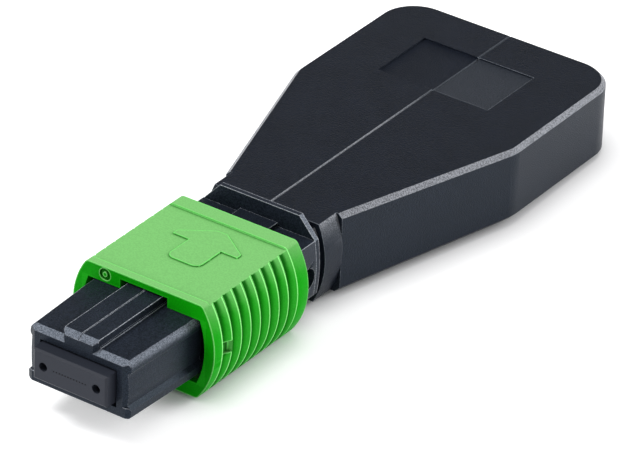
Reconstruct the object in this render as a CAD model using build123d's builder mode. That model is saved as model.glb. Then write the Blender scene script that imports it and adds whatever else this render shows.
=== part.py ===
from build123d import *
import os
from math import atan2, degrees, hypot, sqrt

# Twelve-fibre push-pull ferrule connector in loop-back form. All lengths are millimetres.
# The origin is the centre of the ferrule end face, the plug mates towards -Y, the loop-back
# housing lies towards +Y, and the key is on top, towards +Z.

# Fits and small edges
running_gap = 0.06          # between the sliding sleeve and what guides it
seat_gap = 0.04             # between a sprung piece and the stop that it rests on
loose_gap = 0.1             # around a piece that only lies in its pocket
edge_break = 0.15           # small moulded edge
overrun = 1.0               # how far a cutter runs past the face that it opens

# Ferrule
ferrule_width = 6.4
ferrule_height = 2.5
ferrule_length = 8.0
ferrule_nose = 5.0          # from the end face to the front of the shoulder
shoulder_width = 7.2
shoulder_height = 3.0
guide_hole_diameter = 0.7
guide_hole_pitch = 4.6
ferrule_pocket_width = 3.5  # rear pocket for the boot and the fibres
ferrule_pocket_height = 1.4
ferrule_pocket_front = 3.4
window_width = 3.4          # epoxy window in the top of the ferrule
window_length = 1.5
window_front = 3.6

# Fibres
fibre_count = 12
fibre_pitch = 0.25
bare_fibre_diameter = 0.125
coated_fibre_diameter = 0.24
micro_hole_gap = 0.005
coating_front = 3.5         # where the coating starts, behind the ferrule end face

# Ferrule boot, pin keeper and ferrule spring
boot_width = 3.4
boot_height = 1.2
boot_front = 5.4
boot_rear = 11.2
boot_round = 0.3
boot_slot_width = 3.1
boot_slot_height = 0.4
keeper_length = 1.5
keeper_width = 7.0
keeper_height = 2.8
keeper_slot_height = 1.8
keeper_mouth = 0.9          # opening in the clip's top, so that it can spring
spring_wire = 0.4
spring_width = 6.6
spring_height = 2.7
spring_turns = 5
wire_sides = 6              # a coil's wire is drawn six-sided

# Inner housing of the plug
nose_front = 1.0
housing_rear = 22.3
cavity_side_gap = 0.15      # beside the ferrule's shoulder
nose_wall = 0.69            # from the cavity out to the side of the nose
shoulder_step = 0.24        # the upper shoulder stands this far out from the side
shoulder_in = 0.38          # from the shoulder in to the edge of the flat top
shoulder_drop = 0.85        # from the top down to the widest line of the shoulder
shoulder_bow = 0.06
side_bow = 0.08
flange_step = 0.05          # the lower flange stands this far out from the shoulder
flange_height = 0.85
nose_roof = 0.7
nose_floor = 0.65
nose_taper = 0.28           # the nose's front is this much narrower on each side
nose_taper_rear = 7.5
nose_corner_half = 3.83     # half width of the front face, between its bevelled corners
nose_corner_back = 0.45
flange_corner_half = 4.05   # the same, on the lower flange
nose_chamfer_back = 0.47
nose_chamfer_down = 0.36
key_half = 1.5
key_height = 0.65
key_bevel = 0.3             # on the key's two front corners
key_rear = 14.0
key_ridge_half = 1.65       # lower ridge that carries the key line to the rear
key_ridge_height = 0.32
key_ledge_height = 0.07     # narrow ledge along the foot of the key
parting_width = 0.07        # fine groove along the middle of the key
parting_depth = 0.05
block_front = 16.2          # from here back the housing is wider
block_step = 0.26
block_bow = 0.18
window_gap = 0.15           # above the ferrule in the front window
stop_front = 4.9            # wall that the ferrule shoulder rests against
stop_ledge = 0.3
rail_inner = 2.2
rail_outer = 3.4
rail_front = 10.0
latch_front = 9.2
latch_length = 2.0
latch_depth = 0.35
hook_hole_diameter = 1.9    # round hole in each side, into which a hook of the spring push snaps
hook_y = 21.2
hook_z = -0.48

# Spring channels in the housing sides, and the springs that return the sleeve
channel_front = 12.5
channel_rear = 19.6
channel_half_height = 0.75
channel_wall = 0.45         # between the cavity and a channel
tab_length = 1.0
sleeve_wire = 0.2
sleeve_spring_diameter = 1.1
sleeve_spring_turns = 6

# Pull sleeve
sleeve_length = 11.3
sleeve_rear_gap = 2.5       # room behind the sleeve for its pull
mouth_gap = 0.18            # beside the nose's shoulder in the sleeve's mouth
mouth_bow = 0.46
mouth_tuck = 0.16           # the mouth's foot is this much narrower than its top
mouth_floor_gap = 0.6       # room for the rails under the nose
sleeve_corner_wall = 0.19   # the sleeve's top edge stands this far out from the mouth's
sleeve_side_wall = 0.88
sleeve_foot_wall = 0.05
sleeve_side_z = -0.25
sleeve_round = 0.45         # on the sleeve's long edges
sleeve_floor = 1.25
sleeve_roof = 0.48          # above the slot for the key
key_slot_gap = 0.17
key_slot_side_gap = 0.55
front_rim = 0.7
rear_rim = 1.35
panel_depth = 0.15
panel_dip = 0.08            # the top panel sinks this much further towards the front
panel_crease = 2.6          # from the sleeve's front to where the dip starts
rear_bore_grow = 0.19       # the rear bore is this much wider, to clear the housing block
groove_count = 8
groove_pitch = 1.13
groove_inset = 1.0          # from the sleeve's front to the first crest
groove_depth = 0.42
groove_steep = 0.14         # run of the short wall behind each crest
crest_width = 0.1
groove_margin = 0.12        # how far below the top edge a groove runs out
notch_height = 0.95         # moulding gate notch across the first rib, on the right side only
notch_z = -0.22
mark_diameter = 0.95        # round moulding mark on the front face
mark_depth = 0.12
mark_dot_diameter = 0.4
mark_x = -3.4
mark_z = 3.0
arrow_height = 0.1
arrow_offset = 0.3          # the arrow stands a little to one side of the middle
arrow_shaft_half = 1.4
arrow_wing_half = 2.8
arrow_tip_half = 0.45
arrow_rear_gap = 2.35       # from the arrow's tip to the sleeve's rear
arrow_head_length = 1.65
arrow_wing_length = 0.5
arrow_shaft_length = 2.75
arrow_foot_corner = 0.6
arrow_point_corner = 0.15

# Spring push, whose flange shows as the collar behind the sleeve
push_front = 16.0
push_bore_width = 4.4
push_bore_height = 1.5
collar_length = 0.42
collar_top_half = 3.5
collar_step = 1.57          # the collar stands this far above the housing
collar_corner_drop = 0.05
tail_half = 3.4
tail_half_height = 1.9
tail_rib_front = 24.0
tail_rib_length = 0.8
tail_rib_grow = 0.6
hook_proud = 0.35
hook_length = 1.0
hook_height = 0.9

# Loop-back housing, two moulded halves that meet on the plane X = 0
body_straight = 14.4        # length of the housing behind the flare
body_top_z = 3.1
body_bottom_z = -2.92
neck_bottom_z = -3.5
neck_top_half = 4.6
neck_step = 0.13            # the neck bows this far out from the collar
neck_side_z = -0.15
neck_bottom_half = 4.3
neck_inset = 0.35
neck_gap_rear = 23.2        # the recess behind the collar ends here
flare_front = 25.35
flare_front_half = 5.15
flare_length = 15.45
body_half = 9.9
flare_corner = 3.0
rear_corner = 3.2
top_chamfer = 0.36
bottom_chamfer = 0.45
seam_bevel = 0.1            # on each half's edge along the seam
seam_sides = 4
wall = 1.15
label_half = 4.95
label_length = 6.2
label_rear_gap = 4.6        # from the label recess to the housing's rear
label_depth = 0.14
post_radius = 2.6
pin_diameter = 1.4
pin_length = 1.8
pin_gap = 0.03
rear_boss_length = 2.4
pin_z = 0.1

# Fibre loops inside the housing
straight_end = 29.0         # the fibres run straight as far as this
loop_radius = 7.0           # outermost loop
spread_radius = 9.0         # outermost fibre's bend away from the middle


def section_at(y):
    """Plane across the plug at Y = y: drawn x is X, drawn y is Z, and it extrudes forward."""
    return Plane.XZ.offset(-y)


def bowed_face(top_half, top_z, side_half, side_z, bottom_half, bottom_z):
    """Face with a flat top and bottom and sides that bow outward."""
    with BuildSketch() as drawn:
        with BuildLine():
            Line((-top_half, top_z), (top_half, top_z))
            ThreePointArc((top_half, top_z), (side_half, side_z), (bottom_half, bottom_z))
            Line((bottom_half, bottom_z), (-bottom_half, bottom_z))
            ThreePointArc((-bottom_half, bottom_z), (-side_half, side_z), (-top_half, top_z))
        make_face()
    return drawn.sketch


def plug_face(narrow):
    """Outline of the plug's nose, with each side brought in by the amount given."""
    top, shoulder = top_half - narrow, shoulder_half - narrow
    side, flange = side_half - narrow, flange_half - narrow
    with BuildSketch() as drawn:
        with BuildLine():
            Line((0, top_z), (top, top_z))
            ThreePointArc(
                (top, top_z),
                (shoulder - shoulder_bow, (top_z + shoulder_z) / 2),
                (shoulder, shoulder_z),
            )
            Line((shoulder, shoulder_z), (side, shoulder_z - edge_break))
            ThreePointArc(
                (side, shoulder_z - edge_break),
                (side + side_bow, (shoulder_z + flange_top_z) / 2),
                (side, flange_top_z + edge_break),
            )
            Polyline(
                (side, flange_top_z + edge_break),
                (flange - edge_break, flange_top_z),
                (flange, flange_top_z - edge_break),
                (flange, bottom_z + edge_break),
                (flange - edge_break, bottom_z),
                (0, bottom_z),
            )
            mirror(about=Plane.YZ)
        make_face()
    return drawn.sketch


def circle_through(p, q, r):
    """Centre and radius of the circle through three points."""
    ax, ay = q[0] - p[0], q[1] - p[1]
    bx, by = r[0] - p[0], r[1] - p[1]
    turn = 2 * (ax * by - ay * bx)
    ux = (by * (ax**2 + ay**2) - ay * (bx**2 + by**2)) / turn
    uy = (ax * (bx**2 + by**2) - bx * (ax**2 + ay**2)) / turn
    return p[0] + ux, p[1] + uy, hypot(ux, uy)


def coil(centre_x, front, rear, width, height, wire, turns):
    """Compression spring along Y, round or oval: eight mitred runs to a turn."""
    half_w = (width - wire) / 2
    half_h = (height - wire) / 2
    cut = half_h * (2 - sqrt(2))
    quarter = [(half_w, cut - half_h), (half_w, half_h - cut), (half_w - cut, half_h), (cut - half_w, half_h)]
    ring = quarter + [(-x, -z) for x, z in quarter]
    steps = len(ring) * turns
    rise = (rear - front - wire) / steps
    points = []
    for step in range(steps + 1):
        x, z = ring[step % len(ring)]
        points.append((centre_x + x, front + wire / 2 + rise * step, z))
    start = Vector(*points[0])
    first_run = Vector(*points[1]) - start
    with BuildPart() as spring:
        with BuildLine() as route:
            Polyline(*points)
        with BuildSketch(Plane(origin=start, z_dir=first_run)):
            RegularPolygon(wire / 2, wire_sides)
        sweep(path=route.wires()[0], transition=Transition.RIGHT)
    return spring.part


cavity_half = shoulder_width / 2 + cavity_side_gap
cavity_half_height = shoulder_height / 2 + loose_gap
side_half = cavity_half + nose_wall
shoulder_half = side_half + shoulder_step
top_half = shoulder_half - shoulder_in
flange_half = shoulder_half + flange_step
block_half = shoulder_half + block_step
top_z = cavity_half_height + nose_roof
bottom_z = -cavity_half_height - nose_floor
shoulder_z = top_z - shoulder_drop
flange_top_z = bottom_z + flange_height
key_top_z = top_z + key_height
key_ridge_z = top_z + key_ridge_height
window_half = shoulder_width / 2 - stop_ledge
window_top_z = ferrule_height / 2 + window_gap
channel_floor = cavity_half + channel_wall
mouth_top_half = shoulder_half + mouth_gap
mouth_side_half = mouth_top_half + mouth_bow
mouth_bottom_half = mouth_top_half - mouth_tuck
mouth_top_z = top_z + running_gap
mouth_bottom_z = bottom_z - mouth_floor_gap
key_slot_half = key_half + key_slot_side_gap
key_slot_z = key_top_z + key_slot_gap
sleeve_top_half = mouth_top_half + sleeve_corner_wall
sleeve_side_half = mouth_side_half + sleeve_side_wall
sleeve_bottom_half = mouth_bottom_half + sleeve_foot_wall
sleeve_top_z = key_slot_z + sleeve_roof
sleeve_bottom_z = mouth_bottom_z - sleeve_floor
collar_top_z = top_z + collar_step
collar_corner_z = top_z - collar_corner_drop
block_side_half = block_half + block_bow
neck_side_half = block_side_half + neck_step
sleeve_rear = housing_rear - sleeve_rear_gap
sleeve_front = sleeve_rear - sleeve_length
tab_front = channel_front + seat_gap
groove_first = sleeve_front + groove_inset
arrow_tip = sleeve_rear - arrow_rear_gap
arrow_wing_rear = arrow_tip - arrow_head_length
arrow_wing_front = arrow_wing_rear - arrow_wing_length
arrow_foot = arrow_wing_front - arrow_shaft_length
collar_rear = housing_rear + collar_length
flare_rear = flare_front + flare_length
body_rear = flare_rear + body_straight
label_rear = body_rear - label_rear_gap
label_front = label_rear - label_length
tail_rear = flare_front + wall - loose_gap

# Ferrule: shoulder, guide holes, fibre micro-holes, epoxy window and the rear pocket
with BuildPart() as ferrule:
    with BuildSketch(section_at(ferrule_length)):
        Rectangle(ferrule_width, ferrule_height)
    extrude(amount=ferrule_length)
    chamfer(ferrule.faces().sort_by(Axis.Y)[0].edges(), edge_break)
    with BuildSketch(section_at(ferrule_length)):
        Rectangle(shoulder_width, shoulder_height)
    extrude(amount=ferrule_length - ferrule_nose)
    with BuildSketch(section_at(ferrule_length)):
        Rectangle(ferrule_pocket_width, ferrule_pocket_height)
    extrude(amount=ferrule_length - ferrule_pocket_front, mode=Mode.SUBTRACT)
    with BuildSketch(Plane.XY.offset(shoulder_height)):
        with Locations((0, window_front + window_length / 2)):
            Rectangle(window_width, window_length)
    extrude(amount=-shoulder_height, mode=Mode.SUBTRACT)
    with BuildSketch(section_at(ferrule_length)):
        with GridLocations(guide_hole_pitch, 0, 2, 1):
            Circle(guide_hole_diameter / 2)
    extrude(amount=ferrule_length, mode=Mode.SUBTRACT)
    with BuildSketch(section_at(ferrule_pocket_front)):
        with GridLocations(fibre_pitch, 0, fibre_count, 1):
            Circle(bare_fibre_diameter / 2 + micro_hole_gap)
    extrude(amount=ferrule_pocket_front, mode=Mode.SUBTRACT)
ferrule.part.label = "ferrule"

# Epoxy that fills the ferrule window above the fibres
with BuildPart() as ferrule_epoxy:
    with BuildSketch(Plane.XY.offset(coated_fibre_diameter)):
        with Locations((0, window_front + window_length / 2)):
            Rectangle(window_width, window_length)
    extrude(amount=ferrule_height / 2 - coated_fibre_diameter - micro_hole_gap)
ferrule_epoxy.part.label = "ferrule_epoxy"

# Rubber boot in the back of the ferrule, with a slot for the row of fibres
with BuildPart() as ferrule_boot:
    with BuildSketch(section_at(boot_rear)):
        RectangleRounded(boot_width, boot_height, boot_round)
    extrude(amount=boot_rear - boot_front)
    with BuildSketch(section_at(boot_rear)):
        Rectangle(boot_slot_width, boot_slot_height)
    extrude(amount=boot_rear - boot_front, mode=Mode.SUBTRACT)
ferrule_boot.part.label = "ferrule_boot"

# Pin keeper behind the ferrule: an open clip that seats the spring
with BuildPart() as pin_keeper:
    with BuildSketch(section_at(ferrule_length + keeper_length)):
        Rectangle(keeper_width, keeper_height)
        keeper_slot_width = guide_hole_pitch + guide_hole_diameter + 2 * loose_gap
        Rectangle(keeper_slot_width, keeper_slot_height, mode=Mode.SUBTRACT)
        with Locations((0, keeper_height / 2)):
            Rectangle(keeper_mouth, keeper_height, mode=Mode.SUBTRACT)
    extrude(amount=keeper_length)
pin_keeper.part.label = "pin_keeper"

# Oval spring that presses the ferrule forward
ferrule_spring = coil(0, ferrule_length + keeper_length + seat_gap, push_front - seat_gap,
                      spring_width, spring_height, spring_wire, spring_turns)
ferrule_spring.label = "ferrule_spring"

# Inner housing: tapered nose, key, bowed corners, lower flange, latch pockets and spring channels
with BuildPart() as inner_housing:
    with BuildSketch(section_at(nose_front)):
        add(plug_face(nose_taper))
    with BuildSketch(section_at(nose_taper_rear)):
        add(plug_face(0))
    loft()
    with BuildSketch(section_at(housing_rear)):
        add(plug_face(0))
    extrude(amount=housing_rear - nose_taper_rear)
    front_face = inner_housing.faces().sort_by(Axis.Y)[0]
    front_edge = front_face.edges().sort_by(Axis.Z)[-1]
    chamfer(front_edge, nose_chamfer_down, nose_chamfer_back, reference=front_face)
    corner_slope = nose_corner_back / (flange_half - nose_corner_half)
    corner_out = flange_half + overrun
    for half, low_z, high_z in (
        (nose_corner_half, flange_top_z, top_z),
        (flange_corner_half, bottom_z, flange_top_z),
    ):
        with BuildSketch(Plane.XY.offset(low_z)):
            for side in (1, -1):
                with BuildLine():
                    Polyline(
                        (side * half, nose_front),
                        (side * corner_out, nose_front + corner_slope * (corner_out - half)),
                        (side * corner_out, nose_front),
                        close=True,
                    )
                make_face()
        extrude(amount=high_z - low_z, mode=Mode.SUBTRACT)
    with BuildSketch(section_at(housing_rear)):
        add(bowed_face(block_half, top_z, block_side_half, 0, block_half, bottom_z))
    extrude(amount=housing_rear - block_front)
    with BuildSketch(Plane.XY.offset(window_top_z)):
        with BuildLine():
            Polyline(
                (-key_half, key_rear),
                (-key_half, nose_front + key_bevel),
                (key_bevel - key_half, nose_front),
                (key_half - key_bevel, nose_front),
                (key_half, nose_front + key_bevel),
                (key_half, key_rear),
                close=True,
            )
        make_face()
    extrude(amount=key_top_z - window_top_z)
    key_top = inner_housing.faces().sort_by(Axis.Z)[-1]
    key_edge = key_top.edges().sort_by(Axis.Y)[0]
    chamfer(key_edge, nose_chamfer_back, nose_chamfer_down, reference=key_top)
    with BuildSketch(section_at(key_rear)):
        with Locations((0, (top_z + key_ledge_height + window_top_z) / 2)):
            Rectangle(2 * key_ridge_half, top_z + key_ledge_height - window_top_z)
    extrude(amount=key_rear - nose_front - nose_chamfer_back)
    with BuildSketch(section_at(housing_rear)):
        with Locations((0, (key_ridge_z + window_top_z) / 2)):
            Rectangle(2 * key_ridge_half, key_ridge_z - window_top_z)
    extrude(amount=housing_rear - key_rear)
    with BuildSketch(Plane.YZ):
        with BuildLine():
            Polyline(
                (key_rear, key_top_z + overrun),
                (key_rear, key_top_z - parting_depth),
                (nose_front + nose_chamfer_back, key_top_z - parting_depth),
                (nose_front, key_top_z - nose_chamfer_down - parting_depth),
                (nose_front, key_top_z + overrun),
                close=True,
            )
        make_face()
    extrude(amount=parting_width / 2, both=True, mode=Mode.SUBTRACT)
    with BuildSketch(section_at(channel_rear)):
        rail_top_z = bottom_z
        rail_bottom_z = mouth_bottom_z + running_gap
        with Locations(
            ((rail_inner + rail_outer) / 2, (rail_top_z + rail_bottom_z) / 2),
            (-(rail_inner + rail_outer) / 2, (rail_top_z + rail_bottom_z) / 2),
        ):
            Rectangle(rail_outer - rail_inner, rail_top_z - rail_bottom_z)
    extrude(amount=channel_rear - rail_front)
    with BuildSketch(section_at(stop_front)):
        with Locations((0, (window_top_z - cavity_half_height) / 2)):
            Rectangle(2 * window_half, window_top_z + cavity_half_height)
    extrude(amount=stop_front, mode=Mode.SUBTRACT)
    with BuildSketch(section_at(housing_rear)):
        Rectangle(2 * cavity_half, 2 * cavity_half_height)
    extrude(amount=housing_rear - stop_front, mode=Mode.SUBTRACT)
    for side in (1, -1):
        with BuildSketch(section_at(channel_rear)):
            with Locations((side * (channel_floor + overrun), 0)):
                Rectangle(2 * overrun, 2 * channel_half_height)
        extrude(amount=channel_rear - channel_front, mode=Mode.SUBTRACT)
        with BuildSketch(section_at(latch_front + latch_length)):
            with Locations((side * (side_half - latch_depth + overrun), (shoulder_z + flange_top_z) / 2)):
                Rectangle(2 * overrun, shoulder_z - flange_top_z)
        extrude(amount=latch_length, mode=Mode.SUBTRACT)
        with BuildSketch(Plane.YZ.offset(side * cavity_half)):
            with Locations((hook_y, hook_z)):
                Circle(hook_hole_diameter / 2)
        extrude(amount=side * (block_side_half - cavity_half + overrun), mode=Mode.SUBTRACT)
inner_housing.part.label = "inner_housing"

# Pull sleeve: bowed sides with eight finger grooves each, recessed panels and a bare arrow
with BuildPart() as pull_sleeve:
    with BuildSketch(section_at(sleeve_rear)):
        add(bowed_face(sleeve_top_half, sleeve_top_z, sleeve_side_half, sleeve_side_z,
                       sleeve_bottom_half, sleeve_bottom_z))
    extrude(amount=sleeve_rear - sleeve_front)
    fillet(pull_sleeve.edges().filter_by(Axis.Y), sleeve_round)
    panel_front = sleeve_front + front_rim
    panel_rear = sleeve_rear - rear_rim
    with BuildSketch(Plane.YZ):
        with BuildLine():
            Polyline(
                (panel_front, sleeve_top_z),
                (panel_front, sleeve_top_z - panel_depth - panel_dip),
                (sleeve_front + panel_crease, sleeve_top_z - panel_depth),
                (panel_rear, sleeve_top_z - panel_depth),
                (panel_rear, sleeve_top_z),
                close=True,
            )
        make_face()
        with Locations(((panel_front + panel_rear) / 2, sleeve_bottom_z)):
            Rectangle(panel_rear - panel_front, 2 * panel_depth)
    extrude(amount=sleeve_side_half, both=True, mode=Mode.SUBTRACT)
    with BuildSketch(section_at(sleeve_rear)):
        add(bowed_face(mouth_top_half, mouth_top_z, mouth_side_half, 0, mouth_bottom_half, mouth_bottom_z))
        with Locations((0, key_slot_z / 2)):
            Rectangle(2 * key_slot_half, key_slot_z)
    extrude(amount=sleeve_rear - sleeve_front, mode=Mode.SUBTRACT)
    with BuildSketch(section_at(sleeve_rear)):
        add(bowed_face(mouth_top_half + rear_bore_grow, mouth_top_z, mouth_side_half + rear_bore_grow, 0,
                       mouth_bottom_half + rear_bore_grow, mouth_bottom_z))
    extrude(amount=sleeve_rear - tab_front - tab_length, mode=Mode.SUBTRACT)
    groove_x, groove_z, groove_radius = circle_through(
        (sleeve_top_half, sleeve_top_z - groove_margin),
        (sleeve_side_half - groove_depth, sleeve_side_z),
        (sleeve_bottom_half, sleeve_bottom_z + groove_margin),
    )
    root_x = groove_x + groove_radius
    reach = 2 * groove_depth
    for side in (1, -1):
        with BuildSketch(section_at(tab_front + tab_length)):
            with Locations((side * (channel_floor + running_gap + mouth_side_half + rear_bore_grow) / 2, 0)):
                Rectangle(mouth_side_half + rear_bore_grow - channel_floor - running_gap,
                          2 * channel_half_height - 2 * loose_gap)
        extrude(amount=tab_length)
        with BuildSketch(Plane.XY.offset(groove_z)):
            for index in range(groove_count):
                crest_y = groove_first + groove_pitch * index
                root_y = crest_y + groove_steep
                rise_end = crest_y + groove_pitch - crest_width
                with BuildLine():
                    Polyline(
                        (side * root_x, root_y),
                        (side * (root_x + reach), crest_y - groove_steep),
                        (side * (root_x + reach), 2 * rise_end - root_y),
                        close=True,
                    )
                make_face()
        revolve(axis=Axis((side * groove_x, 0, groove_z), (0, 1, 0)), mode=Mode.SUBTRACT)
    with BuildSketch(Plane.XY.offset(notch_z - notch_height / 2)):
        with Locations((sleeve_side_half - groove_depth + overrun, groove_first + groove_pitch / 2)):
            Rectangle(2 * overrun, groove_pitch)
    extrude(amount=notch_height, mode=Mode.SUBTRACT)
    with BuildSketch(section_at(sleeve_front + mark_depth)):
        with Locations((mark_x, mark_z)):
            Circle(mark_diameter / 2)
            Circle(mark_dot_diameter / 2, mode=Mode.SUBTRACT)
    extrude(amount=mark_depth, mode=Mode.SUBTRACT)
    with BuildSketch(Plane.XY.offset(sleeve_top_z - panel_depth)) as arrow_plan:
        with BuildLine():
            Polyline(
                (arrow_offset + arrow_shaft_half, arrow_foot),
                (arrow_offset + arrow_shaft_half, arrow_wing_front),
                (arrow_offset + arrow_wing_half, arrow_wing_front),
                (arrow_offset + arrow_wing_half, arrow_wing_rear),
                (arrow_offset + arrow_tip_half, arrow_tip),
                (arrow_offset - arrow_tip_half, arrow_tip),
                (arrow_offset - arrow_wing_half, arrow_wing_rear),
                (arrow_offset - arrow_wing_half, arrow_wing_front),
                (arrow_offset - arrow_shaft_half, arrow_wing_front),
                (arrow_offset - arrow_shaft_half, arrow_foot),
                close=True,
            )
        make_face()
        fillet(arrow_plan.vertices().group_by(Axis.Y)[0], arrow_foot_corner)
        arrow_rows = arrow_plan.vertices().group_by(Axis.Y)
        fillet(arrow_rows[-1] + arrow_rows[-2], arrow_point_corner)
    extrude(amount=arrow_height)
pull_sleeve.part.label = "pull_sleeve"

# Springs that return the sleeve, one in the channel on each side
sleeve_spring_x = channel_floor + loose_gap + sleeve_spring_diameter / 2
sleeve_springs = []
for side in (-1, 1):
    sleeve_springs.append(coil(side * sleeve_spring_x, tab_front + tab_length + seat_gap,
                               channel_rear - seat_gap, sleeve_spring_diameter, sleeve_spring_diameter,
                               sleeve_wire, sleeve_spring_turns))
sleeve_spring_left, sleeve_spring_right = sleeve_springs
sleeve_spring_left.label = "sleeve_spring_left"
sleeve_spring_right.label = "sleeve_spring_right"

# Spring push: nose with two hooks in the housing, collar flange, and a ribbed tail
with BuildPart() as spring_push:
    with BuildSketch(section_at(housing_rear)):
        Rectangle(2 * (cavity_half - loose_gap), 2 * (cavity_half_height - loose_gap))
    extrude(amount=housing_rear - push_front)
    with BuildSketch(section_at(hook_y + hook_length / 2)):
        with Locations((0, hook_z)):
            Rectangle(2 * (cavity_half + hook_proud), hook_height)
    extrude(amount=hook_length)
    with BuildSketch(section_at(collar_rear)):
        with BuildLine():
            Polyline((0, collar_top_z), (collar_top_half, collar_top_z), (block_half, collar_corner_z))
            ThreePointArc(
                (block_half, collar_corner_z),
                (block_side_half, 0),
                (block_half, -collar_corner_z),
            )
            Polyline(
                (block_half, -collar_corner_z),
                (collar_top_half, -collar_top_z),
                (0, -collar_top_z),
            )
            mirror(about=Plane.YZ)
        make_face()
    extrude(amount=collar_length)
    with BuildSketch(section_at(tail_rear)):
        RectangleRounded(2 * tail_half, 2 * tail_half_height, edge_break)
    extrude(amount=tail_rear - collar_rear)
    with BuildSketch(section_at(tail_rib_front + tail_rib_length)):
        RectangleRounded(2 * (tail_half + tail_rib_grow), 2 * (tail_half_height + tail_rib_grow), edge_break)
    extrude(amount=tail_rib_length)
    with BuildSketch(section_at(tail_rear)):
        Rectangle(push_bore_width, push_bore_height)
    extrude(amount=tail_rear - push_front, mode=Mode.SUBTRACT)
spring_push.part.label = "spring_push"

# Fibre loops: each joins two mirrored fibres and runs parallel to its neighbours
row_half = fibre_pitch * (fibre_count - 1) / 2
bend_centre_x = row_half + spread_radius
loop_centre_y = straight_end + sqrt((spread_radius + loop_radius) ** 2 - bend_centre_x**2)
bend_end_angle = degrees(atan2(loop_centre_y - straight_end, -bend_centre_x))
loop_start_angle = bend_end_angle - 180
fibre_loops = []
for index in range(fibre_count // 2):
    inset = fibre_pitch * index
    leg_x = row_half - inset
    bend = spread_radius + inset
    loop = loop_radius - inset
    with BuildPart() as fibre_loop:
        with BuildLine() as route:
            Line((leg_x, coating_front), (leg_x, straight_end))
            CenterArc((bend_centre_x, straight_end), bend, 180, bend_end_angle - 180)
            CenterArc((0, loop_centre_y), loop, loop_start_angle, 180 - 2 * loop_start_angle)
            CenterArc((-bend_centre_x, straight_end), bend, 180 - bend_end_angle, bend_end_angle - 180)
            Line((-leg_x, straight_end), (-leg_x, coating_front))
        with BuildSketch(section_at(coating_front)):
            with Locations((leg_x, 0)):
                RegularPolygon(coated_fibre_diameter / 2, wire_sides)
        sweep(path=route.wires()[0])
        with BuildSketch(section_at(coating_front)):
            with GridLocations(2 * leg_x, 0, 2, 1):
                RegularPolygon(bare_fibre_diameter / 2, wire_sides)
        extrude(amount=coating_front)
    fibre_loop.part.label = f"fibre_loop_{index + 1}"
    fibre_loops.append(fibre_loop.part)


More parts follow.
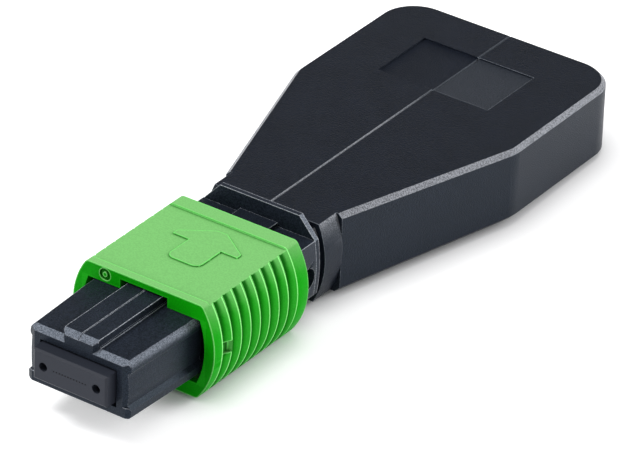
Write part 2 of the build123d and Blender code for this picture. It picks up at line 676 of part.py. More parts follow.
def body_half_blank():
    """Right half of the loop-back housing, open at the seam, before its pins or sockets."""
    with BuildPart() as body:
        with BuildSketch(Plane.XY.offset(neck_bottom_z)) as plan:
            with BuildLine():
                Polyline(
                    (-flare_front_half, flare_front),
                    (flare_front_half, flare_front),
                    (body_half, flare_rear),
                    (body_half, body_rear),
                    (-body_half, body_rear),
                    (-body_half, flare_rear),
                    close=True,
                )
            make_face()
            fillet(plan.vertices().group_by(Axis.Y)[1], flare_corner)
            fillet(plan.vertices().group_by(Axis.Y)[-1], rear_corner)
        extrude(amount=body_top_z - neck_bottom_z)
        with BuildSketch(Plane.YZ):
            with BuildLine():
                Polyline(
                    (flare_front, neck_bottom_z),
                    (flare_rear, body_bottom_z),
                    (body_rear + overrun, body_bottom_z),
                    (body_rear + overrun, neck_bottom_z - overrun),
                    (flare_front, neck_bottom_z - overrun),
                    close=True,
                )
            make_face()
        extrude(amount=body_half + overrun, both=True, mode=Mode.SUBTRACT)
        top_rim = body.faces().sort_by(Axis.Z)[-1].edges().sort_by(Axis.Y)[1:]
        chamfer(top_rim, top_chamfer)
        under_face = body.faces().filter_by(Axis.Z).sort_by(Axis.Z)[0]
        under_rim = under_face.edges().sort_by(Axis.Y)[1:]
        chamfer(under_rim, bottom_chamfer)
        with BuildSketch(section_at(flare_front)):
            add(bowed_face(neck_top_half, body_top_z, neck_side_half, neck_side_z,
                           neck_bottom_half, neck_bottom_z))
        extrude(amount=flare_front - neck_gap_rear)
        with BuildSketch(section_at(neck_gap_rear)):
            add(bowed_face(neck_top_half - neck_inset, body_top_z - neck_inset,
                           neck_side_half - neck_inset, neck_side_z,
                           neck_bottom_half - neck_inset, neck_bottom_z + neck_inset))
        extrude(amount=neck_gap_rear - collar_rear)
        with BuildSketch(Plane.XY.offset(body_bottom_z + wall)) as cavity_plan:
            with BuildLine():
                Polyline(
                    (-flare_front_half + wall, flare_front + wall),
                    (flare_front_half - wall, flare_front + wall),
                    (body_half - wall, flare_rear),
                    (body_half - wall, body_rear - wall),
                    (-body_half + wall, body_rear - wall),
                    (-body_half + wall, flare_rear),
                    close=True,
                )
            make_face()
            fillet(cavity_plan.vertices().group_by(Axis.Y)[-1], rear_corner - wall)
        extrude(amount=body_top_z - body_bottom_z - 2 * wall, mode=Mode.SUBTRACT)
        with BuildSketch(section_at(flare_front + wall)):
            Rectangle(2 * (tail_half + loose_gap), 2 * (tail_half_height + loose_gap))
        extrude(amount=flare_front + wall - collar_rear, mode=Mode.SUBTRACT)
        with BuildSketch(section_at(tail_rib_front + tail_rib_length + loose_gap)):
            Rectangle(2 * (tail_half + tail_rib_grow + loose_gap),
                      2 * (tail_half_height + tail_rib_grow + loose_gap))
        extrude(amount=tail_rib_length + 2 * loose_gap, mode=Mode.SUBTRACT)
        with BuildSketch(Plane.XY.offset(body_top_z)):
            with Locations((0, (label_front + label_rear) / 2)):
                Rectangle(2 * label_half, label_rear - label_front)
        extrude(amount=-label_depth, mode=Mode.SUBTRACT)
        with BuildSketch(section_at(body_rear)):
            with Locations((0, body_top_z)):
                RegularPolygon(seam_bevel, seam_sides)
        extrude(amount=body_rear - collar_rear, mode=Mode.SUBTRACT)
        with BuildSketch(section_at(label_rear)):
            with Locations((0, body_top_z - label_depth)):
                RegularPolygon(seam_bevel, seam_sides)
        extrude(amount=label_rear - label_front, mode=Mode.SUBTRACT)
        with BuildSketch(Plane.XY.offset(body_bottom_z + wall)):
            with Locations((0, loop_centre_y)):
                Circle(post_radius)
            with Locations((0, rear_pin_y)):
                Rectangle(2 * rear_boss_length, rear_boss_length)
        extrude(amount=body_top_z - body_bottom_z - 2 * wall)
        split(bisect_by=Plane.YZ, keep=Keep.TOP)
    return body.part


# Loop-back housing, right half with the sockets
rear_pin_y = body_rear - wall - rear_boss_length / 2
pin_places = ((loop_centre_y, pin_z), (rear_pin_y, pin_z))
with BuildPart() as body_shell_right:
    add(body_half_blank())
    with BuildSketch(Plane.YZ):
        with Locations(*pin_places):
            Circle(pin_diameter / 2 + pin_gap)
    extrude(amount=pin_length + loose_gap, mode=Mode.SUBTRACT)
body_shell_right.part.label = "body_shell_right"

# Loop-back housing, left half with the pins
with BuildPart() as body_shell_left:
    add(mirror(body_half_blank(), about=Plane.YZ))
    with BuildSketch(Plane.YZ):
        with Locations(*pin_places):
            Circle(pin_diameter / 2)
    extrude(amount=pin_length)
body_shell_left.part.label = "body_shell_left"

# One file for each piece
pieces = [
    ferrule.part,
    ferrule_epoxy.part,
    ferrule_boot.part,
    pin_keeper.part,
    ferrule_spring,
    inner_housing.part,
    pull_sleeve.part,
    sleeve_spring_left,
    sleeve_spring_right,
    spring_push.part,
    *fibre_loops,
    body_shell_left.part,
    body_shell_right.part,
]
os.makedirs("parts", exist_ok=True)
for piece in pieces:
    export_step(piece, f"parts/{piece.label}.step")
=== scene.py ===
from math import atan2, cos, pi, radians, sin
import bpy
from mathutils import Matrix, Vector


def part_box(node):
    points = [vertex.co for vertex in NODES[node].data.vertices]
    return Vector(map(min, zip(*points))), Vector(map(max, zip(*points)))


# Looks of the loop-back fibre plug, in metres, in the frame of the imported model
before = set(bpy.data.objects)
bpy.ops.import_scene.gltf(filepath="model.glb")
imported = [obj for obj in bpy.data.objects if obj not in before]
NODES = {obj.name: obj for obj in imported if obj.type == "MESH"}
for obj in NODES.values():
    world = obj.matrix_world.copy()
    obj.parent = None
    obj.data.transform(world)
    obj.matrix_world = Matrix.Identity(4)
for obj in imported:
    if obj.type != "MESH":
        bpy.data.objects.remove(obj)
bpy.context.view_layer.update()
MM = 0.001

# Photograph's view: angles in degrees, lengths in metres, and the focal length in the picture's pixels
VIEW_AZIMUTH = 34.14
VIEW_ELEVATION = 30.97
VIEW_ROLL = 2.07
VIEW_DISTANCE = 399.7 * MM
VIEW_TARGET = Vector((0, 30 * MM, 2 * MM))
VIEW_RIGHT = -0.05 * MM
VIEW_UP = -3.27 * MM
PHOTO_WIDTH = 640
FOCAL_PIXELS = 5497

# Camera: its sensor's width in millimetres, and how many times nearer and farther than the plug it sees
SENSOR_WIDTH = 36
CLIP_RANGE = 100

# Light of the dome, and the floor's own
FILL_LEVEL = 0.38
FLOOR_GLOW = 0.58

# Reach of the painted contact shadow in the floor's own light, and the openness at which that light is gone
CONTACT_REACH = 2.8 * MM
CONTACT_DARK = 0.15

# Room that a gloss shows: its level overhead, and the heights between which it dims to that
ROOM_LEVEL = 0.2
ROOM_START = 0.02
ROOM_END = 0.3

# Area lamps: direction from the middle of the plug, distance, width, height and radiance
LAMPS = {
    "lamp_top": ((-0.48, -0.32, 0.81), 0.5, 0.16, 0.16, 20),
    "lamp_right": ((0.69, 0.63, 0.37), 0.55, 0.29, 0.4, 7),
    "lamp_front": ((-0.5, -1.0, 0.3), 0.6, 0.2, 0.2, 5),
}

# Floor: half its width, its paint, and the length of the housing's rear end that rests on it
FLOOR_HALF = 3.0
FLOOR_PAINT = (0.8, 0.8, 0.81)
REAR_FOOT = 4 * MM

# Noise of a moulded skin: size and detail of its slow clouds, and detail of its fine grain
CLOUD_SIZE = 2.5 * MM
CLOUD_DETAIL = 3
GRAIN_DETAIL = 2

# Grain at which the speckle of a moulded skin is darkest and palest
SPECKLE_LOW = 0.35
SPECKLE_HIGH = 0.65

# Upward share of a surface's normal at which the sleeve's painted light, a lighter top as if lit from above,
# starts and is full
LIT_TOP_START = 0.15
LIT_TOP_FULL = 0.88

# Rays in each look for openness
LOOK_SAMPLES = 16

# Openness inside the wall at which the painted highlight on an edge starts and is full
EDGE_START = 0.95
EDGE_FULL = 0.65

# Openness at which the painted shade in a groove or hollow starts and is full, and the reach of that look
GROOVE_START = 0.96
GROOVE_FULL = 0.7
GROOVE_REACH = 1.0 * MM

# Upward shares between which the painted shade in a groove wanes, and what is left of it on the top
GROOVE_SIDE = 0.6
GROOVE_TOP = 0.95
GROOVE_TOP_SHARE = 0.55

# The sleeve's ribs: number, pitch, distance from the front, and the upward shares at which they wane
RIB_COUNT = 8
RIB_PITCH = 1.13 * MM
RIB_INSET = 1.0 * MM
RIB_SIDE = 0.9
RIB_TOP = 0.99

# Places of the painted shade, the painted lighter slope and the painted crest highlight in the run from one
# crest to the next
RIB_DARK_START = 0.03
RIB_DARK_FULL = 0.14
RIB_DARK_FADE = 0.3
RIB_DARK_END = 0.62
RIB_PALE_START = 0.4
RIB_PALE_FULL = 0.75
RIB_PALE = 0.06
RIB_CREST_START = 0.88
RIB_CREST_FULL = 0.94

# Upward share of a slanted face's normal: where its painted highlight comes in, is full, wanes and is gone
SLANT_START = 0.1
SLANT_FULL = 0.6
SLANT_WANE = 0.84
SLANT_GONE = 0.93

# Heights at which the painted highlight on slanted faces starts and is full
SLANT_LOW = 0.2 * MM
SLANT_HIGH = 0.8 * MM

# The housing's seam: half the width of its strip, its front end, and where the painted highlight on its left
# wall fades to a rest
SEAM_HALF = 0.5 * MM
SEAM_FRONT = 22 * MM
SEAM_FADE_START = 38 * MM
SEAM_FADE_END = 46 * MM
SEAM_REST = 0.15

# The recess for a label in each half of the housing's top
LABEL_HALF = 4.95 * MM
LABEL_LENGTH = 6.2 * MM
LABEL_REAR_GAP = 4.6 * MM
LABEL_DEPTH = 0.14 * MM

# The nose's window, the sleeve's mouth and its key slot, each as its half width, bottom and top
WINDOW = (3.3 * MM, -1.6 * MM, 1.4 * MM)
MOUTH = (5.3 * MM, -2.85 * MM, 2.36 * MM)
KEY_SLOT = (2.05 * MM, 2.36 * MM, 3.12 * MM)

# Width and depth of the rim round an opening or recess that keeps no painted edge highlight
RIM = 0.12 * MM
RIM_DEPTH = 0.5 * MM

# Behind this place the fibres keep their coating
COATING_FRONT = 3.5 * MM

# A length that ends past the plug on every side
FAR = 1

# Colours of the skins, among them painted light: the sleeve's lighter top, painted shade in its grooves, and
# painted highlights on crests, slanted faces and edges
SLEEVE_GREEN = (0.004, 0.35, 0.003)
SLEEVE_LIT_TOP = (0.195, 0.515, 0.157)
SLEEVE_GROOVE_SHADE = (0.0005, 0.12, 0.0005)
SLEEVE_CREST_HIGHLIGHT = (0.3, 0.95, 0.26)
SLEEVE_EDGE_HIGHLIGHT = (0.2, 0.72, 0.17)
SLEEVE_MOUTH = (0.01, 0.4, 0.008)
HOUSING_BLACK = (0.007, 0.009, 0.0155)
HOUSING_SLANT_HIGHLIGHT = (0.23, 0.235, 0.255)
HOUSING_EDGE_HIGHLIGHT = (0.14, 0.155, 0.18)
LABEL_FLOOR = (0.028, 0.032, 0.041)
PLUG_BLACK = (0.014, 0.018, 0.027)
PLUG_SLANT_HIGHLIGHT = (0.13, 0.142, 0.17)
PLUG_EDGE_HIGHLIGHT = (0.36, 0.38, 0.42)
BLUISH = (0.6, 0.8, 1)
FERRULE_BLACK = (0.026, 0.03, 0.042)
BOOT_BLACK = (0.02, 0.02, 0.02)
EPOXY_AMBER = (0.3, 0.2, 0.08)
BARE_FIBRE = (0.006, 0.007, 0.01)
COATED_FIBRE = (0.16, 0.55, 0.65)
SPRING_GREY = (0.6, 0.6, 0.58)
KEEPER_GREY = (0.55, 0.55, 0.54)

# Width of the rounding on each moulded piece's sharp edges, and how the rounding is made
EDGE_ROUND = {
    "pull_sleeve": 0.1 * MM,
    "inner_housing": 0.06 * MM,
    "spring_push": 0.06 * MM,
    "body_shell_left": 0.05 * MM,
    "body_shell_right": 0.05 * MM,
}
SHARP_ANGLE = 28
ROUND_SEGMENTS = 3
WELD_DISTANCE = 0.0005 * MM


def make_camera():
    """The camera at the photograph's viewpoint, rolled as it was held."""
    azimuth, elevation, roll = map(radians, (VIEW_AZIMUTH, VIEW_ELEVATION, VIEW_ROLL))
    flat_right = Vector((cos(azimuth), sin(azimuth), 0))
    back = Vector((sin(azimuth) * cos(elevation), -cos(azimuth) * cos(elevation), sin(elevation)))
    flat_up = back.cross(flat_right)
    right = cos(roll) * flat_right + sin(roll) * flat_up
    up = cos(roll) * flat_up - sin(roll) * flat_right
    place = VIEW_TARGET + VIEW_RIGHT * right + VIEW_UP * up + VIEW_DISTANCE * back
    data = bpy.data.cameras.new("photo_camera")
    data.sensor_width = SENSOR_WIDTH
    data.lens = FOCAL_PIXELS / PHOTO_WIDTH * SENSOR_WIDTH
    data.clip_start = VIEW_DISTANCE / CLIP_RANGE
    data.clip_end = VIEW_DISTANCE * CLIP_RANGE
    camera = bpy.data.objects.new("photo_camera", data)
    turn = Matrix((right, up, back)).transposed().to_4x4()
    camera.matrix_world = Matrix.Translation(place) @ turn
    bpy.context.scene.collection.objects.link(camera)
    bpy.context.scene.camera = camera


def math_node(tree, operation, first, second=None):
    """Socket with the result of one operation on a socket, or on a socket and a second one or a number."""
    step = tree.nodes.new("ShaderNodeMath")
    step.operation = operation
    tree.links.new(first, step.inputs[0])
    if isinstance(second, (int, float)):
        step.inputs[1].default_value = second
    elif second is not None:
        tree.links.new(second, step.inputs[1])
    return step.outputs[0]


def product(tree, first, *others):
    """Socket with the product of two or more sockets."""
    for other in others:
        first = math_node(tree, "MULTIPLY", first, other)
    return first


def ramp(tree, value, low, high, at_low=0.0, at_high=1.0, smooth=True):
    """Socket that goes from one number to another as the value goes from low to high."""
    scale = tree.nodes.new("ShaderNodeMapRange")
    scale.interpolation_type = "SMOOTHSTEP" if smooth else "LINEAR"
    scale.inputs["From Min"].default_value = low
    scale.inputs["From Max"].default_value = high
    scale.inputs["To Min"].default_value = at_low
    scale.inputs["To Max"].default_value = at_high
    tree.links.new(value, scale.inputs["Value"])
    return scale.outputs["Result"]


def blend_colour(tree, factor, first, second):
    """Socket with a mix of two colours, or colour sockets, by a factor's socket."""
    mix = tree.nodes.new("ShaderNodeMix")
    mix.data_type = "RGBA"
    tree.links.new(factor, mix.inputs["Factor"])
    for letter, colour in (("A", first), ("B", second)):
        if isinstance(colour, tuple):
            mix.inputs[letter].default_value = (*colour, 1)
        else:
            tree.links.new(colour, mix.inputs[letter])
    return mix.outputs["Result"]


def parts_of(tree, kind):
    """The X, Y and Z sockets of a texture coordinate, such as Object or Normal."""
    place = tree.nodes.new("ShaderNodeTexCoord")
    split = tree.nodes.new("ShaderNodeSeparateXYZ")
    tree.links.new(place.outputs[kind], split.inputs["Vector"])
    return split.outputs


def noise(tree, size, detail):
    """Socket with a noise in the object's own space, in spots about as large as the size."""
    place = tree.nodes.new("ShaderNodeTexCoord")
    spots = tree.nodes.new("ShaderNodeTexNoise")
    spots.inputs["Scale"].default_value = 1 / size
    spots.inputs["Detail"].default_value = detail
    tree.links.new(place.outputs["Object"], spots.inputs["Vector"])
    return spots.outputs["Fac"]


def rays(tree, *kinds):
    """Socket that is 1 for rays of these kinds and 0 for the rest."""
    path = tree.nodes.new("ShaderNodeLightPath")
    total = path.outputs[f"Is {kinds[0]} Ray"]
    for kind in kinds[1:]:
        total = math_node(tree, "MAXIMUM", total, path.outputs[f"Is {kind} Ray"])
    return total


def openness(tree, distance, inside=False, local=True):
    """Share of rays from the surface that meet nothing within a distance, outside or inside the wall."""
    look = tree.nodes.new("ShaderNodeAmbientOcclusion")
    look.inside = inside
    look.only_local = local
    look.samples = LOOK_SAMPLES
    look.inputs["Distance"].default_value = distance
    return look.outputs["AO"]


def box_mask(tree, corners):
    """Socket that is 1 between two opposite corners in the object's own space and 0 outside."""
    place = parts_of(tree, "Object")
    tests = []
    for axis, low, high in zip("XYZ", *corners):
        tests.append(math_node(tree, "GREATER_THAN", place[axis], low))
        tests.append(math_node(tree, "LESS_THAN", place[axis], high))
    return product(tree, *tests)


def new_material(name):
    """A material whose node tree holds only an output, and the socket of that output's surface."""
    material = bpy.data.materials.new(name)
    material.use_nodes = True
    material.node_tree.nodes.clear()
    output = material.node_tree.nodes.new("ShaderNodeOutputMaterial")
    return material, output.inputs["Surface"]


def make_world():
    """Even pale light from all round, seen as white, under which a gloss shows a dimmer room overhead."""
    world = bpy.data.worlds.new("studio")
    world.use_nodes = True
    bpy.context.scene.world = world
    tree = world.node_tree
    background = tree.nodes["Background"]
    background.inputs["Color"].default_value = (1, 1, 1, 1)
    room = ramp(tree, parts_of(tree, "Generated")["Z"], ROOM_START, ROOM_END, 1, ROOM_LEVEL)
    level = tree.nodes.new("ShaderNodeMix")
    level.inputs["A"].default_value = FILL_LEVEL
    tree.links.new(rays(tree, "Glossy"), level.inputs["Factor"])
    tree.links.new(room, level.inputs["B"])
    seen = tree.nodes.new("ShaderNodeMix")
    seen.inputs["B"].default_value = 1
    tree.links.new(rays(tree, "Camera", "Transmission"), seen.inputs["Factor"])
    tree.links.new(level.outputs["Result"], seen.inputs["A"])
    tree.links.new(seen.outputs["Result"], background.inputs["Strength"])


def floor_white():
    """Pale paint with a glow that shows to the eye and in a gloss alone, and wanes near the plug as a
    painted contact shadow.
    """
    material, surface = new_material("floor_white")
    tree = material.node_tree
    paint = tree.nodes.new("ShaderNodeBsdfDiffuse")
    paint.inputs["Color"].default_value = (*FLOOR_PAINT, 1)
    glow = tree.nodes.new("ShaderNodeEmission")
    near = openness(tree, CONTACT_REACH, local=False)
    # Painted contact shadow: the glow wanes where the plug closes the floor in
    tree.links.new(ramp(tree, near, CONTACT_DARK, 1, 0, FLOOR_GLOW), glow.inputs["Strength"])
    dark = tree.nodes.new("ShaderNodeEmission")
    dark.inputs["Strength"].default_value = 0
    seen = tree.nodes.new("ShaderNodeMixShader")
    tree.links.new(rays(tree, "Camera", "Glossy", "Transmission"), seen.inputs["Fac"])
    tree.links.new(dark.outputs[0], seen.inputs[1])
    tree.links.new(glow.outputs[0], seen.inputs[2])
    both = tree.nodes.new("ShaderNodeAddShader")
    tree.links.new(paint.outputs[0], both.inputs[0])
    tree.links.new(seen.outputs[0], both.inputs[1])
    tree.links.new(both.outputs[0], surface)
    material.cycles.emission_sampling = "NONE"
    return material


def make_floor():
    """White floor through the sleeve's rear edge and the housing's rear edge, on which the plug lies."""
    sleeve_low, sleeve_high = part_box("pull_sleeve")
    foot_y, foot_z = sleeve_high.y, sleeve_low.z
    rear_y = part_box("body_shell_right")[1].y
    vertices = NODES["body_shell_right"].data.vertices
    rear_z = min(v.co.z for v in vertices if v.co.y > rear_y - REAR_FOOT)
    tilt = atan2(rear_z - foot_z, rear_y - foot_y)
    corners = [(FLOOR_HALF * x, FLOOR_HALF * y) for x, y in ((-1, -1), (1, -1), (1, 1), (-1, 1))]
    points = [(x, foot_y + y * cos(tilt), foot_z + y * sin(tilt)) for x, y in corners]
    mesh = bpy.data.meshes.new("floor")
    mesh.from_pydata(points, [], [(0, 1, 2, 3)])
    mesh.materials.append(floor_white())
    floor = bpy.data.objects.new("floor", mesh)
    bpy.context.scene.collection.objects.link(floor)


def make_lamp(name, direction, distance, width, height, radiance):
    """Soft area lamp that looks at the middle of the plug from a direction given as X, Y, Z."""
    data = bpy.data.lights.new(name, "AREA")
    data.shape = "RECTANGLE"
    data.size = width
    data.size_y = height
    data.energy = radiance * pi * width * height
    lamp = bpy.data.objects.new(name, data)
    towards = Vector(direction).normalized()
    lamp.location = VIEW_TARGET + distance * towards
    lamp.rotation_mode = "QUATERNION"
    lamp.rotation_quaternion = towards.to_track_quat("Z", "Y")
    lamp.visible_camera = False
    bpy.context.scene.collection.objects.link(lamp)


def ribbing(tree):
    """Two sockets for the sleeve's ribs: painted shade, 1 in the depth of each groove, and painted
    highlight, rising to 1 along each crest.
    """
    along = parts_of(tree, "Object")["Y"]
    first_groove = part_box("pull_sleeve")[0].y + RIB_INSET
    turns = math_node(tree, "DIVIDE", math_node(tree, "SUBTRACT", along, first_groove), RIB_PITCH)
    phase = math_node(tree, "FRACT", turns)
    start = math_node(tree, "GREATER_THAN", turns, RIB_CREST_START - 1)
    end = math_node(tree, "LESS_THAN", turns, RIB_COUNT)
    side = ramp(tree, parts_of(tree, "Normal")["Z"], RIB_SIDE, RIB_TOP, 1, 0)
    ribbed = product(tree, start, end, side)
    # Painted shade in each groove, behind its crest
    fall = ramp(tree, phase, RIB_DARK_START, RIB_DARK_FULL)
    rise = ramp(tree, phase, RIB_DARK_FADE, RIB_DARK_END, 1, 0)
    behind = math_node(tree, "GREATER_THAN", turns, 0)
    dark = product(tree, fall, rise, behind)
    # Painted highlight on the upper slope and along each crest
    crest = ramp(tree, phase, RIB_CREST_START, RIB_CREST_FULL)
    slope_light = ramp(tree, phase, RIB_PALE_START, RIB_PALE_FULL, 0, RIB_PALE)
    crest = math_node(tree, "MAXIMUM", crest, slope_light)
    return product(tree, dark, ribbed), product(tree, crest, ribbed)


def shade_grooves_light_crests(tree, base, groove_shade_colour, crest_highlight_colour):
    """Colour socket with painted shade in hollows and grooves, and with painted highlights on the crests of
    the ribs.
    """
    # Painted shade where the surface is closed in, less on the top
    closed = ramp(tree, openness(tree, GROOVE_REACH), GROOVE_FULL, GROOVE_START, 1, 0)
    shallow = ramp(tree, parts_of(tree, "Normal")["Z"], GROOVE_SIDE, GROOVE_TOP, 1, GROOVE_TOP_SHARE)
    groove, crest = ribbing(tree)
    shade_share = math_node(tree, "MAXIMUM", product(tree, closed, shallow), groove)
    base = blend_colour(tree, shade_share, base, groove_shade_colour)
    return blend_colour(tree, crest, base, crest_highlight_colour)


def seam_share(tree):
    """Socket that is 1 away from the housing's seam, and on the left wall of its groove, which takes a
    painted highlight, up to a fade.
    """
    place = parts_of(tree, "Object")
    aside = math_node(tree, "ABSOLUTE", place["X"])
    beside = math_node(tree, "GREATER_THAN", aside, SEAM_HALF)
    before = math_node(tree, "LESS_THAN", place["Y"], SEAM_FRONT)
    away = math_node(tree, "MAXIMUM", beside, before)
    left_wall = math_node(tree, "GREATER_THAN", parts_of(tree, "Normal")["X"], 0)
    fade = ramp(tree, place["Y"], SEAM_FADE_START, SEAM_FADE_END, 1, SEAM_REST)
    return math_node(tree, "MAXIMUM", away, product(tree, left_wall, fade))


def slant_highlight_share(tree):
    """Socket for the painted highlight: 1 on slanted faces above the middle, less at the seam, and 0 on all
    other faces.
    """
    upward = parts_of(tree, "Normal")["Z"]
    above = ramp(tree, upward, SLANT_START, SLANT_FULL)
    below = ramp(tree, upward, SLANT_WANE, SLANT_GONE, 1, 0)
    high = ramp(tree, parts_of(tree, "Object")["Z"], SLANT_LOW, SLANT_HIGH)
    return product(tree, above, below, high, seam_share(tree))


def speckled(tree, base, fine, speckle):
    """Colour socket scaled up and down by the fine grain, by a share of itself."""
    spots = ramp(tree, fine, SPECKLE_LOW, SPECKLE_HIGH, 1 - speckle, 1 + speckle)
    scaled = tree.nodes.new("ShaderNodeVectorMath")
    scaled.operation = "SCALE"
    tree.links.new(base, scaled.inputs["Vector"])
    tree.links.new(spots, scaled.inputs["Scale"])
    return scaled.outputs["Vector"]


def plastic(name, colour, roughness, grain, grain_depth, colour_change=0.08, roughness_change=0.08,
            specular=0.5, tint=(1, 1, 1), speckle=0.0, lit_top_colour=None, groove_shade_colour=None,
            crest_highlight_colour=None, slant_highlight_colour=None, edge_highlight_colour=None, edge_width=None, patches=()):
    """Moulded plastic: fine skin grain as bump, and slow changes of colour and roughness.

    Its top may be painted lighter, as if lit from above, and its ribs may have painted shade in the
    grooves and painted highlights on the crests. Slanted faces may have a painted highlight, and edges a
    painted highlight over a width. Patches, each given as two corners and a colour, have their own
    colour. A speckle is a fine change of the colour.
    """
    material, surface = new_material(name)
    tree = material.node_tree
    fine = noise(tree, grain, GRAIN_DETAIL)
    darker = tuple(c * (1 - colour_change) for c in colour)
    paler = tuple(c * (1 + colour_change) for c in colour)
    base = blend_colour(tree, noise(tree, CLOUD_SIZE, CLOUD_DETAIL), darker, paler)
    if lit_top_colour:
        # Painted light: faces that look upward are painted lighter, as if lit from above
        lit_top_share = ramp(tree, parts_of(tree, "Normal")["Z"], LIT_TOP_START, LIT_TOP_FULL)
        base = blend_colour(tree, lit_top_share, base, lit_top_colour)
    if groove_shade_colour:
        base = shade_grooves_light_crests(tree, base, groove_shade_colour, crest_highlight_colour)
    if slant_highlight_colour:
        # Painted highlight on the slanted faces of the upper half
        base = blend_colour(tree, slant_highlight_share(tree), base, slant_highlight_colour)
    if edge_highlight_colour:
        # Painted highlight along thin edges, as where their rounding catches the light
        thin = ramp(tree, openness(tree, edge_width, inside=True), EDGE_FULL, EDGE_START, 1, 0)
        base = blend_colour(tree, thin, base, edge_highlight_colour)
    for corners, patch_colour in patches:
        base = blend_colour(tree, box_mask(tree, corners), base, patch_colour)
    if speckle:
        base = speckled(tree, base, fine, speckle)
    rough = ramp(tree, fine, 0, 1, roughness - roughness_change, roughness + roughness_change, smooth=False)
    bump = tree.nodes.new("ShaderNodeBump")
    bump.inputs["Strength"].default_value = 1
    bump.inputs["Distance"].default_value = grain_depth
    tree.links.new(fine, bump.inputs["Height"])
    shader = tree.nodes.new("ShaderNodeBsdfPrincipled")
    shader.inputs["Specular IOR Level"].default_value = specular
    shader.inputs["Specular Tint"].default_value = (*tint, 1)
    tree.links.new(base, shader.inputs["Base Color"])
    tree.links.new(rough, shader.inputs["Roughness"])
    tree.links.new(bump.outputs["Normal"], shader.inputs["Normal"])
    tree.links.new(shader.outputs["BSDF"], surface)
    return material


def drawn_metal(name, colour, roughness):
    """Drawn or stamped steel with a fine grain."""
    material = plastic(name, colour, roughness, grain=0.06 * MM, grain_depth=0.002 * MM,
                       colour_change=0.1, roughness_change=0.1)
    material.node_tree.nodes["Principled BSDF"].inputs["Metallic"].default_value = 1
    return material


def rim_patch(name, opening, colour):
    """A patch round an opening in the front of a CAD node, which leaves out the painted edge highlight
    there.
    """
    half, low, high = opening
    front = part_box(name)[0].y
    corners = (-half - RIM, front - RIM, low - RIM), (half + RIM, front + RIM_DEPTH, high + RIM)
    return corners, colour


def label_patches():
    """Two patches: the paler floor of the right label recess, and the left one's rim, which keeps no painted
    highlight.
    """
    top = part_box("body_shell_right")[1]
    floor_z = top.z - LABEL_DEPTH
    rear = top.y - LABEL_REAR_GAP
    front = rear - LABEL_LENGTH
    floor = (0, front, floor_z - LABEL_DEPTH / 2), (LABEL_HALF, rear, floor_z + LABEL_DEPTH / 2)
    rim = (-LABEL_HALF - RIM, front - RIM, floor_z), (-RIM, rear + RIM, top.z + LABEL_DEPTH)
    return [(floor, LABEL_FLOOR), (rim, HOUSING_BLACK)]


def sleeve_green():
    """Green of the pull sleeve, with painted light on its top, painted shade in its grooves and painted
    highlights along its crests and edges.
    """
    return plastic(
        "sleeve_green", SLEEVE_GREEN, roughness=0.42, grain=0.12 * MM, grain_depth=0.006 * MM,
        specular=0.04, speckle=0.06, lit_top_colour=SLEEVE_LIT_TOP, groove_shade_colour=SLEEVE_GROOVE_SHADE,
        crest_highlight_colour=SLEEVE_CREST_HIGHLIGHT, edge_highlight_colour=SLEEVE_EDGE_HIGHLIGHT, edge_width=0.12 * MM,
        patches=[rim_patch("pull_sleeve", MOUTH, SLEEVE_MOUTH),
                 rim_patch("pull_sleeve", KEY_SLOT, SLEEVE_MOUTH)],
    )


def housing_black():
    """Black of the two housing halves, finely eroded, with painted highlights on its slanted faces and
    edges.
    """
    return plastic(
        "housing_black", HOUSING_BLACK, roughness=0.4, grain=0.09 * MM, grain_depth=0.04 * MM,
        colour_change=0.3, roughness_change=0.15, specular=0.21, tint=BLUISH, speckle=0.5,
        slant_highlight_colour=HOUSING_SLANT_HIGHLIGHT, edge_highlight_colour=HOUSING_EDGE_HIGHLIGHT, edge_width=0.06 * MM,
        patches=label_patches(),
    )


def plug_black():
    """Black of the inner housing and the spring push, a little smoother than the housing's, with painted
    highlights on its slanted faces and edges.
    """
    return plastic(
        "plug_black", PLUG_BLACK, roughness=0.35, grain=0.09 * MM, grain_depth=0.025 * MM,
        colour_change=0.3, roughness_change=0.12, specular=0.16, tint=BLUISH, speckle=0.5,
        slant_highlight_colour=PLUG_SLANT_HIGHLIGHT, edge_highlight_colour=PLUG_EDGE_HIGHLIGHT, edge_width=0.07 * MM,
        patches=[rim_patch("inner_housing", WINDOW, PLUG_BLACK)],
    )


def ferrule_black():
    """Filled black plastic of the ferrule, with a lapped face."""
    return plastic("ferrule_black", FERRULE_BLACK, roughness=0.45, grain=0.06 * MM,
                   grain_depth=0.003 * MM, specular=0.2)


def boot_rubber():
    """Soft black rubber of the ferrule's boot."""
    return plastic("boot_rubber", BOOT_BLACK, roughness=0.7, grain=0.1 * MM, grain_depth=0.005 * MM)


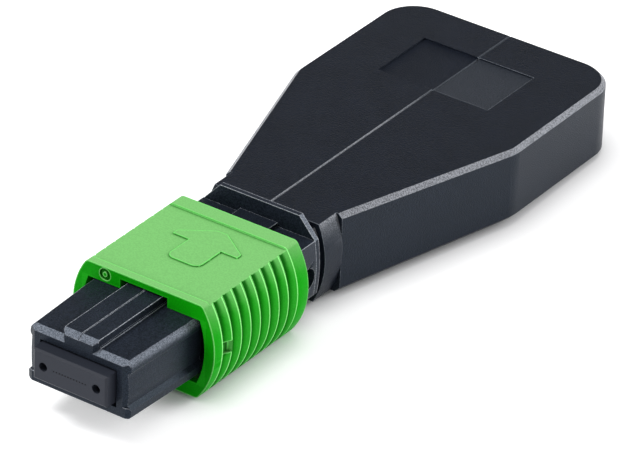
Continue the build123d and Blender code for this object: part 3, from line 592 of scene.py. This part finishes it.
def epoxy():
    """Cured amber drop in the ferrule's window."""
    return plastic("epoxy", EPOXY_AMBER, roughness=0.15, grain=0.5 * MM, grain_depth=0.01 * MM)


def fibre_coating():
    """Bare dark fibre in front, and its pale blue coating behind."""
    coated = (-FAR, COATING_FRONT, -FAR), (FAR, FAR, FAR)
    return plastic("fibre_coating", BARE_FIBRE, roughness=0.3, grain=0.3 * MM, grain_depth=0.001 * MM,
                   specular=0.1, patches=[(coated, COATED_FIBRE)])


def spring_steel():
    """Grey drawn wire of the three springs."""
    return drawn_metal("spring_steel", SPRING_GREY, roughness=0.3)


def keeper_steel():
    """Grey stamped sheet of the pin keeper."""
    return drawn_metal("keeper_steel", KEEPER_GREY, roughness=0.4)


def dress(material, names):
    """Gives each of the CAD nodes that one material."""
    for name in names:
        mesh = NODES[name].data
        mesh.materials.clear()
        mesh.materials.append(material)


def soften(name, width):
    """Rounds the sharp edges of a CAD node as moulding does, without touching its mesh."""
    node = NODES[name]
    weld = node.modifiers.new("weld", "WELD")
    weld.merge_threshold = WELD_DISTANCE
    bevel = node.modifiers.new("edge_round", "BEVEL")
    bevel.width = width
    bevel.segments = ROUND_SEGMENTS
    bevel.limit_method = "ANGLE"
    bevel.angle_limit = radians(SHARP_ANGLE)
    bevel.use_clamp_overlap = True
    bevel.harden_normals = True
    bevel.miter_outer = "MITER_ARC"


# The view and the light
bpy.context.scene.view_settings.view_transform = "Standard"
make_camera()
make_world()
make_floor()
for lamp_name, lamp_values in LAMPS.items():
    make_lamp(lamp_name, *lamp_values)

# The skins
dress(sleeve_green(), ["pull_sleeve"])
dress(housing_black(), ["body_shell_left", "body_shell_right"])
dress(plug_black(), ["inner_housing", "spring_push"])
dress(ferrule_black(), ["ferrule"])
dress(boot_rubber(), ["ferrule_boot"])
dress(epoxy(), ["ferrule_epoxy"])
dress(fibre_coating(), [name for name in NODES if name.startswith("fibre_loop")])
dress(spring_steel(), ["ferrule_spring", "sleeve_spring_left", "sleeve_spring_right"])
dress(keeper_steel(), ["pin_keeper"])

# The rounded edges
for piece_name, round_width in EDGE_ROUND.items():
    soften(piece_name, round_width)
